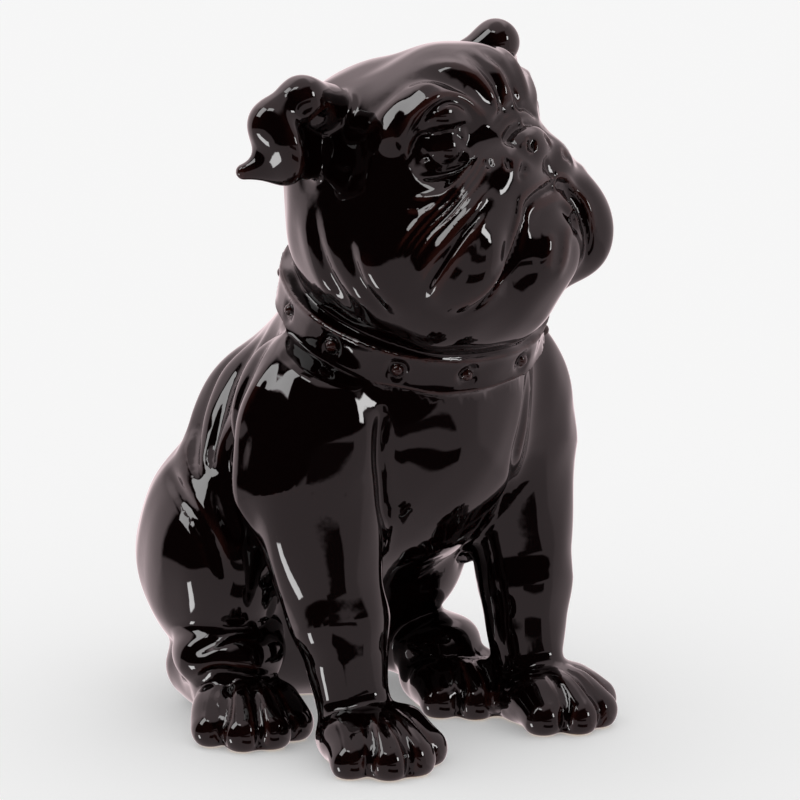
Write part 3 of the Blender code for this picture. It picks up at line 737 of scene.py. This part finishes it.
def slope(field, points, step=SLOPE_STEP):
    """The field and its gradient at each point, from four samples about it."""
    samples = [field(points + step * corner) for corner in CORNERS]
    gradient = sum(sample[:, None] * corner for sample, corner in zip(samples, CORNERS)) / (4 * step)
    return sum(samples) / 4, gradient


def pulled(field, points, rounds, most=3.0):
    """The points moved onto the field's zero surface, by at most that far each round."""
    for _ in range(rounds):
        here, gradient = slope(field, points)
        square = np.maximum((gradient**2).sum(axis=1), LEAST_SLOPE_SQUARED)
        move = -(here / square)[:, None] * gradient
        length = np.linalg.norm(move, axis=1)
        move *= np.minimum(1, most / np.maximum(length, TINY))[:, None]
        points = points + move
    return points


def relaxed(points, edges, share):
    """Each point moved part of the way to the middle of its neighbours."""
    total = np.zeros_like(points)
    count = np.bincount(edges.ravel(), minlength=len(points))
    for axis in range(3):
        total[:, axis] = np.bincount(edges[:, 0], points[edges[:, 1], axis], len(points))
        total[:, axis] += np.bincount(edges[:, 1], points[edges[:, 0], axis], len(points))
    return points + share * (total / np.maximum(count, 1)[:, None] - points)


def unit_ball():
    mesh = bmesh.new()
    bmesh.ops.create_icosphere(mesh, subdivisions=3, radius=1.0)
    points = np.array([v.co for v in mesh.verts])
    faces = np.array([[v.index for v in face.verts] for face in mesh.faces])
    mesh.free()
    return points, faces


def rough_object(masses, name):
    """All the masses as overlapping closed balls in one object, in units."""
    ball, ball_faces = unit_ball()
    points, faces = [], []
    for mass in masses:
        if mass.cut:
            continue
        for side in (1, -1) if mass.mirrored else (1,):
            for centre, radii, turn in mass.beads():
                placed = (ball * radii) @ turn.T + centre
                placed[:, 0] *= side
                faces.append(ball_faces[:, ::side] + len(points) * len(ball))
                points.append(mass.space.outward(placed))
    data = bpy.data.meshes.new(name)
    data.from_pydata(np.concatenate(points).tolist(), [], np.concatenate(faces).tolist())
    shape = bpy.data.objects.new(name, data)
    bpy.context.scene.collection.objects.link(shape)
    return shape


def apply_modifiers(shape):
    graph = bpy.context.evaluated_depsgraph_get()
    data = bpy.data.meshes.new_from_object(shape.evaluated_get(graph))
    old = shape.data
    shape.modifiers.clear()
    shape.data = data
    bpy.data.meshes.remove(old)


def remeshed(shape, size):
    skin = shape.modifiers.new("skin", "REMESH")
    skin.mode = "VOXEL"
    skin.voxel_size = size
    apply_modifiers(shape)


def coordinates(data):
    points = np.empty(len(data.vertices) * 3)
    data.vertices.foreach_get("co", points)
    edges = np.empty(len(data.edges) * 2, int)
    data.edges.foreach_get("vertices", edges)
    return points.reshape(-1, 3), edges.reshape(-1, 2)


def settle(shape, field, rounds, last=2):
    """Pulls the mesh onto a field's surface, easing its spacing between pulls."""
    points, edges = coordinates(shape.data)
    for _ in range(rounds):
        points = pulled(field, points, 1)
        points = relaxed(points, edges, EASING)
    points = pulled(field, points, last)
    shape.data.vertices.foreach_set("co", points.ravel())
    shape.data.update()


def sculpture(strokes):
    """The near ear stands out further than the far one, which is turned away."""
    head = head_masses() + eye_masses() + ear_masses(-1, 0, 1.0, 0) + ear_masses(1, 14, 0.7, -0.5)
    return Figure(body_masses(), Collar(COLLAR, COLLAR_RADIUS), head, strokes)


def sculpt(name, sizes, strokes):
    """The figure as one closed mesh in units, each pass on a finer skin than the last."""
    figure = sculpture(strokes)
    shape = rough_object(figure.body + figure.head + [figure.collar], name)
    for size in sizes[:-1]:
        remeshed(shape, size)
        settle(shape, figure.form, 4)
    remeshed(shape, sizes[-1])
    settle(shape, figure.value, 2)
    return shape, figure


def thinned(shape, figure, faces):
    """Fewer faces where the skin is smooth, all of them triangles, pulled back onto the form."""
    total = sum(len(face.vertices) - 2 for face in shape.data.polygons)
    if total > faces:
        fewer = shape.modifiers.new("fewer", "DECIMATE")
        fewer.ratio = faces / total
        fewer.use_collapse_triangulate = True
        apply_modifiers(shape)
    points = pulled(figure.value, coordinates(shape.data)[0], 1, LAST_PULL)
    shape.data.vertices.foreach_set("co", points.ravel())
    shape.data.update()


def placed(shape, low, high):
    """From units to metres: as tall as the model's box, and about the middle of it."""
    points = coordinates(shape.data)[0]
    own_low, own_high = points.min(axis=0), points.max(axis=0)
    scale = (high[2] - low[2]) / (own_high[2] - own_low[2])
    middle = (own_low + own_high) / 2
    points = (points - (middle[0], middle[1], own_low[2])) * scale
    points += ((low[0] + high[0]) / 2, (low[1] + high[1]) / 2, low[2])
    shape.data.vertices.foreach_set("co", points.ravel())
    shape.data.update()


def set_normals(shape, figure):
    """The form's own slope at each point as the shading normal, and how sharply it bends there."""
    points = coordinates(shape.data)[0]
    around, gradient = slope(figure.value, points, BEND_STEP)
    normals = gradient / np.maximum(np.linalg.norm(gradient, axis=1), TINY)[:, None]
    bend = 2 * (around - figure.value(points)) / BEND_STEP**2
    bent = shape.data.attributes.new("bend", "FLOAT", "POINT")
    bent.data.foreach_set("value", np.clip(bend, -1, 1))
    shape.data.shade_smooth()
    shape.data.normals_split_custom_set_from_vertices(normals.tolist())


def make_figure(settings):
    """The whole figurine as one piece, in place of the model's plain solid."""
    shape, figure = sculpt("bulldog", SKINS, all_strokes())
    thinned(shape, figure, TRIANGLES)
    set_normals(shape, figure)
    placed(shape, LOW, HIGH)
    shape.data.materials.append(glaze_material(settings))
    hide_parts(NODE)
    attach(shape, "root")


class Nodes:
    """Short hands for laying out the nodes of one tree."""

    def __init__(self, tree):
        self.tree = tree

    def add(self, kind, **values):
        node = self.tree.nodes.new(kind)
        for name, value in values.items():
            setattr(node, name, value)
        return node

    def plug(self, socket, value):
        if isinstance(value, bpy.types.NodeSocket):
            self.tree.links.new(value, socket)
        else:
            socket.default_value = value

    def maths(self, operation, *values):
        node = self.add("ShaderNodeMath", operation=operation)
        for socket, value in zip(node.inputs, values):
            self.plug(socket, value)
        return node.outputs[0]

    def dot(self, a, b):
        node = self.add("ShaderNodeVectorMath", operation="DOT_PRODUCT")
        self.plug(node.inputs[0], a)
        self.plug(node.inputs[1], b)
        return node.outputs["Value"]

    def ramp(self, value, low, high, to_low=0.0, to_high=1.0):
        node = self.add("ShaderNodeMapRange", interpolation_type="SMOOTHSTEP")
        for socket, given in zip(node.inputs, (value, low, high, to_low, to_high)):
            self.plug(socket, given)
        return node.outputs[0]

    def noise(self, place, scale, detail):
        node = self.add("ShaderNodeTexNoise")
        for name, value in (("Vector", place), ("Scale", scale), ("Detail", detail)):
            self.plug(node.inputs[name], value)
        return node.outputs["Fac"]

    def mix(self, share, a, b):
        node = self.add("ShaderNodeMix", data_type="RGBA")
        self.plug(node.inputs["Factor"], share)
        self.plug(node.inputs[6], a)
        self.plug(node.inputs[7], b)
        return node.outputs[2]


def glaze_material(settings):
    """Thick black-brown gloss, thinner and warmer over sharp folds, and bare clay at the floor."""
    material = bpy.data.materials.new("black_brown_glaze")
    material.use_nodes = True
    nodes = Nodes(material.node_tree)
    shader = material.node_tree.nodes["Principled BSDF"]
    shader.inputs["IOR"].default_value = settings.glaze_ior

    place = nodes.add("ShaderNodeTexCoord").outputs["Object"]
    height = nodes.add("ShaderNodeSeparateXYZ")
    nodes.plug(height.inputs[0], place)
    edge = nodes.noise(place, *EDGE_NOISE)
    waver = nodes.maths("MULTIPLY_ADD", edge, EDGE_WAVER, height.outputs["Z"])
    covered = nodes.ramp(waver, settings.clay_height + EDGE_STARTS, settings.clay_height + EDGE_ENDS)

    bend = nodes.add("ShaderNodeAttribute", attribute_name="bend").outputs["Fac"]
    cloud = nodes.noise(place, *CLOUD_NOISE)
    thin = nodes.ramp(nodes.maths("MULTIPLY", bend, cloud), *THIN_BENDS)
    glaze = nodes.mix(thin, settings.glaze_colour, settings.thin_colour)
    clay = nodes.mix(nodes.noise(place, *GRAIN_NOISE), settings.clay_colour, settings.clay_shade)
    nodes.plug(shader.inputs["Base Color"], nodes.mix(covered, clay, glaze))

    rough = settings.gloss_roughness
    smear = nodes.ramp(cloud, 0.3, 0.7, rough, SMEARED * rough)
    bare = nodes.ramp(covered, 0.0, 1.0, CLAY_ROUGHNESS, 0.0)
    nodes.plug(shader.inputs["Roughness"], nodes.maths("MAXIMUM", smear, bare))

    bump = nodes.add("ShaderNodeBump")
    bump.inputs["Distance"].default_value = settings.ripple
    nodes.plug(bump.inputs["Height"], nodes.noise(place, *RIPPLE_NOISE))
    nodes.plug(shader.inputs["Normal"], bump.outputs["Normal"])
    return material


def aim(azimuth, elevation):
    """The direction at an azimuth from -Y towards +X and an elevation, both in degrees."""
    turn, rise = math.radians(azimuth), math.radians(elevation)
    return Vector((math.sin(turn) * math.cos(rise), -math.cos(turn) * math.cos(rise), math.sin(rise)))


def panel_group():
    """A soft-edged panel as seen in a direction: 1 inside it, 0 outside."""
    group = bpy.data.node_groups.new("soft_panel", "ShaderNodeTree")
    for name, kind in PANEL_SOCKETS:
        group.interface.new_socket(name, in_out="INPUT", socket_type=kind)
    group.interface.new_socket("Mask", in_out="OUTPUT", socket_type="NodeSocketFloat")
    nodes = Nodes(group)
    given = nodes.add("NodeGroupInput").outputs
    made = nodes.add("NodeGroupOutput")
    forward = nodes.dot(given["Direction"], given["Centre"])
    ahead = nodes.maths("MAXIMUM", forward, 0.001)
    mask = nodes.maths("GREATER_THAN", forward, 0.0)
    for way, half in (("Across", "Half Width"), ("Upward", "Half Height")):
        aside = nodes.maths("DIVIDE", nodes.dot(given["Direction"], given[way]), ahead)
        past = nodes.maths("SUBTRACT", nodes.maths("ABSOLUTE", aside), given[half])
        inside = nodes.ramp(nodes.maths("DIVIDE", past, given["Softness"]), -1.0, 1.0, 1.0, 0.0)
        mask = nodes.maths("MULTIPLY", mask, inside)
    nodes.plug(made.inputs["Mask"], mask)
    return group


def studio_world(settings):
    """White walls light the scene, and the glaze mirrors panels in a dark room instead."""
    world = bpy.data.worlds.new("studio")
    bpy.context.scene.world = world
    world.use_nodes = True
    world.node_tree.nodes.clear()
    nodes = Nodes(world.node_tree)
    direction = nodes.add("ShaderNodeTexCoord").outputs["Generated"]
    tilt = aim(HORIZON_TOWARDS + 180, 90 - HORIZON_TILT)
    above = nodes.ramp(nodes.dot(direction, tilt), *HORIZON_EDGE)
    level = nodes.ramp(above, 0.0, 1.0, FLOOR_MIRRORED, ROOM_MIRRORED)
    group = panel_group()
    for azimuth, elevation, width, height, roll, softness, radiance in PANELS:
        centre = aim(azimuth, elevation)
        across = centre.cross(Vector((0, 0, 1))).normalized()
        across.rotate(Matrix.Rotation(math.radians(roll), 3, centre))
        panel = nodes.add("ShaderNodeGroup", node_tree=group)
        nodes.plug(panel.inputs["Direction"], direction)
        panel.inputs["Centre"].default_value = centre
        panel.inputs["Across"].default_value = across
        panel.inputs["Upward"].default_value = across.cross(centre)
        panel.inputs["Half Width"].default_value = math.tan(math.radians(width))
        panel.inputs["Half Height"].default_value = math.tan(math.radians(height))
        panel.inputs["Softness"].default_value = softness
        mask = panel.outputs["Mask"]
        level = nodes.maths("MULTIPLY_ADD", mask, nodes.maths("SUBTRACT", radiance, level), level)
    mirrored = nodes.add("ShaderNodeBackground")
    lit = nodes.ramp(level, *LIT_LEVELS)
    nodes.plug(mirrored.inputs["Color"], nodes.mix(lit, settings.room_colour, settings.light_colour))
    nodes.plug(mirrored.inputs["Strength"], level)
    walls = nodes.add("ShaderNodeBackground")
    walls.inputs["Strength"].default_value = settings.wall_light
    both = nodes.add("ShaderNodeMixShader")
    nodes.plug(both.inputs[0], nodes.add("ShaderNodeLightPath").outputs["Is Glossy Ray"])
    nodes.plug(both.inputs[1], walls.outputs[0])
    nodes.plug(both.inputs[2], mirrored.outputs[0])
    nodes.plug(nodes.add("ShaderNodeOutputWorld").inputs["Surface"], both.outputs[0])


def make_floor(settings):
    """A plain pale floor, wide enough to reach the horizon."""
    mesh = bmesh.new()
    bmesh.ops.create_circle(mesh, cap_ends=True, segments=96, radius=settings.floor_radius)
    data = bpy.data.meshes.new("studio_floor")
    mesh.to_mesh(data)
    mesh.free()
    floor = bpy.data.objects.new("studio_floor", data)
    bpy.context.scene.collection.objects.link(floor)
    floor.visible_glossy = False
    material = bpy.data.materials.new("pale_floor")
    material.use_nodes = True
    shader = material.node_tree.nodes["Principled BSDF"]
    shader.inputs["Base Color"].default_value = settings.floor_colour
    shader.inputs["Roughness"].default_value = 0.9
    shader.inputs["Specular IOR Level"].default_value = 0.0
    shader.inputs["Emission Color"].default_value = (1, 1, 1, 1)
    shader.inputs["Emission Strength"].default_value = settings.floor_glow
    data.materials.append(material)


def make_camera(settings):
    """The camera where the photographer's stood."""
    camera = bpy.data.cameras.new("photo_camera")
    camera.lens = settings.lens
    camera.sensor_width = 36.0
    seat = bpy.data.objects.new("photo_camera", camera)
    bpy.context.scene.collection.objects.link(seat)
    seat.location = settings.camera_place
    sight = Vector(settings.camera_target) - Vector(settings.camera_place)
    seat.rotation_euler = sight.to_track_quat("-Z", "Y").to_euler()
    bpy.context.scene.camera = seat


def number(name, description, default, **more):
    return bpy.props.FloatProperty(name=name, description=description, default=default, **more)


def colour(name, description, default):
    return bpy.props.FloatVectorProperty(
        name=name, description=description, default=default, size=4, min=0.0, max=1.0, subtype="COLOR"
    )


class BulldogFigureSettings(bpy.types.PropertyGroup):
    glaze_colour: colour("Glaze", "Colour of the glaze where it lies thick", (0.0018, 0.0004, 0.0004, 1))
    thin_colour: colour(
        "Thin glaze", "Colour where the glaze runs thin over a sharp fold", (0.016, 0.004, 0.003, 1)
    )
    clay_colour: colour("Clay", "Colour of the bare clay under the feet", (0.62, 0.47, 0.30, 1))
    clay_shade: colour("Clay shade", "The darker specks in the bare clay", (0.45, 0.32, 0.19, 1))
    clay_height: number("Bare clay", "How far the clay is bare above the floor", 0.0008, unit="LENGTH")
    glaze_ior: number("Glaze index", "How strongly the glaze mirrors", 1.5, min=1.0, max=2.5)
    gloss_roughness: number("Roughness", "Roughness of the glaze", 0.025, min=0.0, max=1.0)
    ripple: number("Ripple", "Height of the fine ripple in the glaze", 0.00006, unit="LENGTH", precision=5)


class BulldogStageSettings(bpy.types.PropertyGroup):
    floor_radius: number("Floor radius", "How far the floor reaches", 14.0, unit="LENGTH")
    floor_colour: colour("Floor", "Colour of the floor", (0.86, 0.86, 0.86, 1))
    floor_glow: number("Floor glow", "Light that the floor gives off by itself", 0.25)
    wall_light: number("Wall light", "Brightness of the white walls", 0.98)
    light_colour: colour("Light", "Colour of the studio's lights", (1.0, 0.985, 0.99, 1))
    room_colour: colour(
        "Room", "Colour of the floor and the walls as the glaze mirrors them", (1.0, 0.81, 0.84, 1)
    )
    lens: number("Lens", "Focal length of the camera, in millimetres", 136.4)
    camera_place: bpy.props.FloatVectorProperty(
        name="Camera place", description="Where the camera stands", subtype="XYZ", default=CAMERA_PLACE
    )
    camera_target: bpy.props.FloatVectorProperty(
        name="Camera target", description="What the camera looks at", subtype="XYZ", default=CAMERA_TARGET
    )


class OBJECT_OT_bulldog_figure(bpy.types.Operator):
    """Makes the glazed figurine"""

    bl_idname = "object.bulldog_figure"
    bl_label = "Figurine"

    def execute(self, context):
        make_figure(context.scene.bulldog_figure)
        return {"FINISHED"}


class SCENE_OT_bulldog_stage(bpy.types.Operator):
    """Makes the floor, the studio's surroundings and the camera"""

    bl_idname = "scene.bulldog_stage"
    bl_label = "Stage"

    def execute(self, context):
        settings = context.scene.bulldog_stage
        context.scene.view_settings.view_transform = "Standard"
        make_floor(settings)
        studio_world(settings)
        make_camera(settings)
        return {"FINISHED"}


class VIEW3D_PT_bulldog(bpy.types.Panel):
    """Sizes and colours of the figurine and its stage"""

    bl_idname = "VIEW3D_PT_bulldog"
    bl_label = "Bulldog"
    bl_space_type = "VIEW_3D"
    bl_region_type = "UI"
    bl_category = "Bulldog"

    def draw(self, context):
        for settings, operator in (
            (context.scene.bulldog_figure, OBJECT_OT_bulldog_figure),
            (context.scene.bulldog_stage, SCENE_OT_bulldog_stage),
        ):
            for name in settings.__annotations__:
                self.layout.prop(settings, name)
            self.layout.operator(operator.bl_idname)


CLASSES = (
    BulldogFigureSettings,
    BulldogStageSettings,
    OBJECT_OT_bulldog_figure,
    SCENE_OT_bulldog_stage,
    VIEW3D_PT_bulldog,
)


def register():
    for item in CLASSES:
        bpy.utils.register_class(item)
    bpy.types.Scene.bulldog_figure = bpy.props.PointerProperty(type=BulldogFigureSettings)
    bpy.types.Scene.bulldog_stage = bpy.props.PointerProperty(type=BulldogStageSettings)


def unregister():
    del bpy.types.Scene.bulldog_stage
    del bpy.types.Scene.bulldog_figure
    for item in reversed(CLASSES):
        bpy.utils.unregister_class(item)


def main():
    register()
    bpy.ops.object.bulldog_figure()
    bpy.ops.scene.bulldog_stage()


if __name__ == "__main__":
    main()
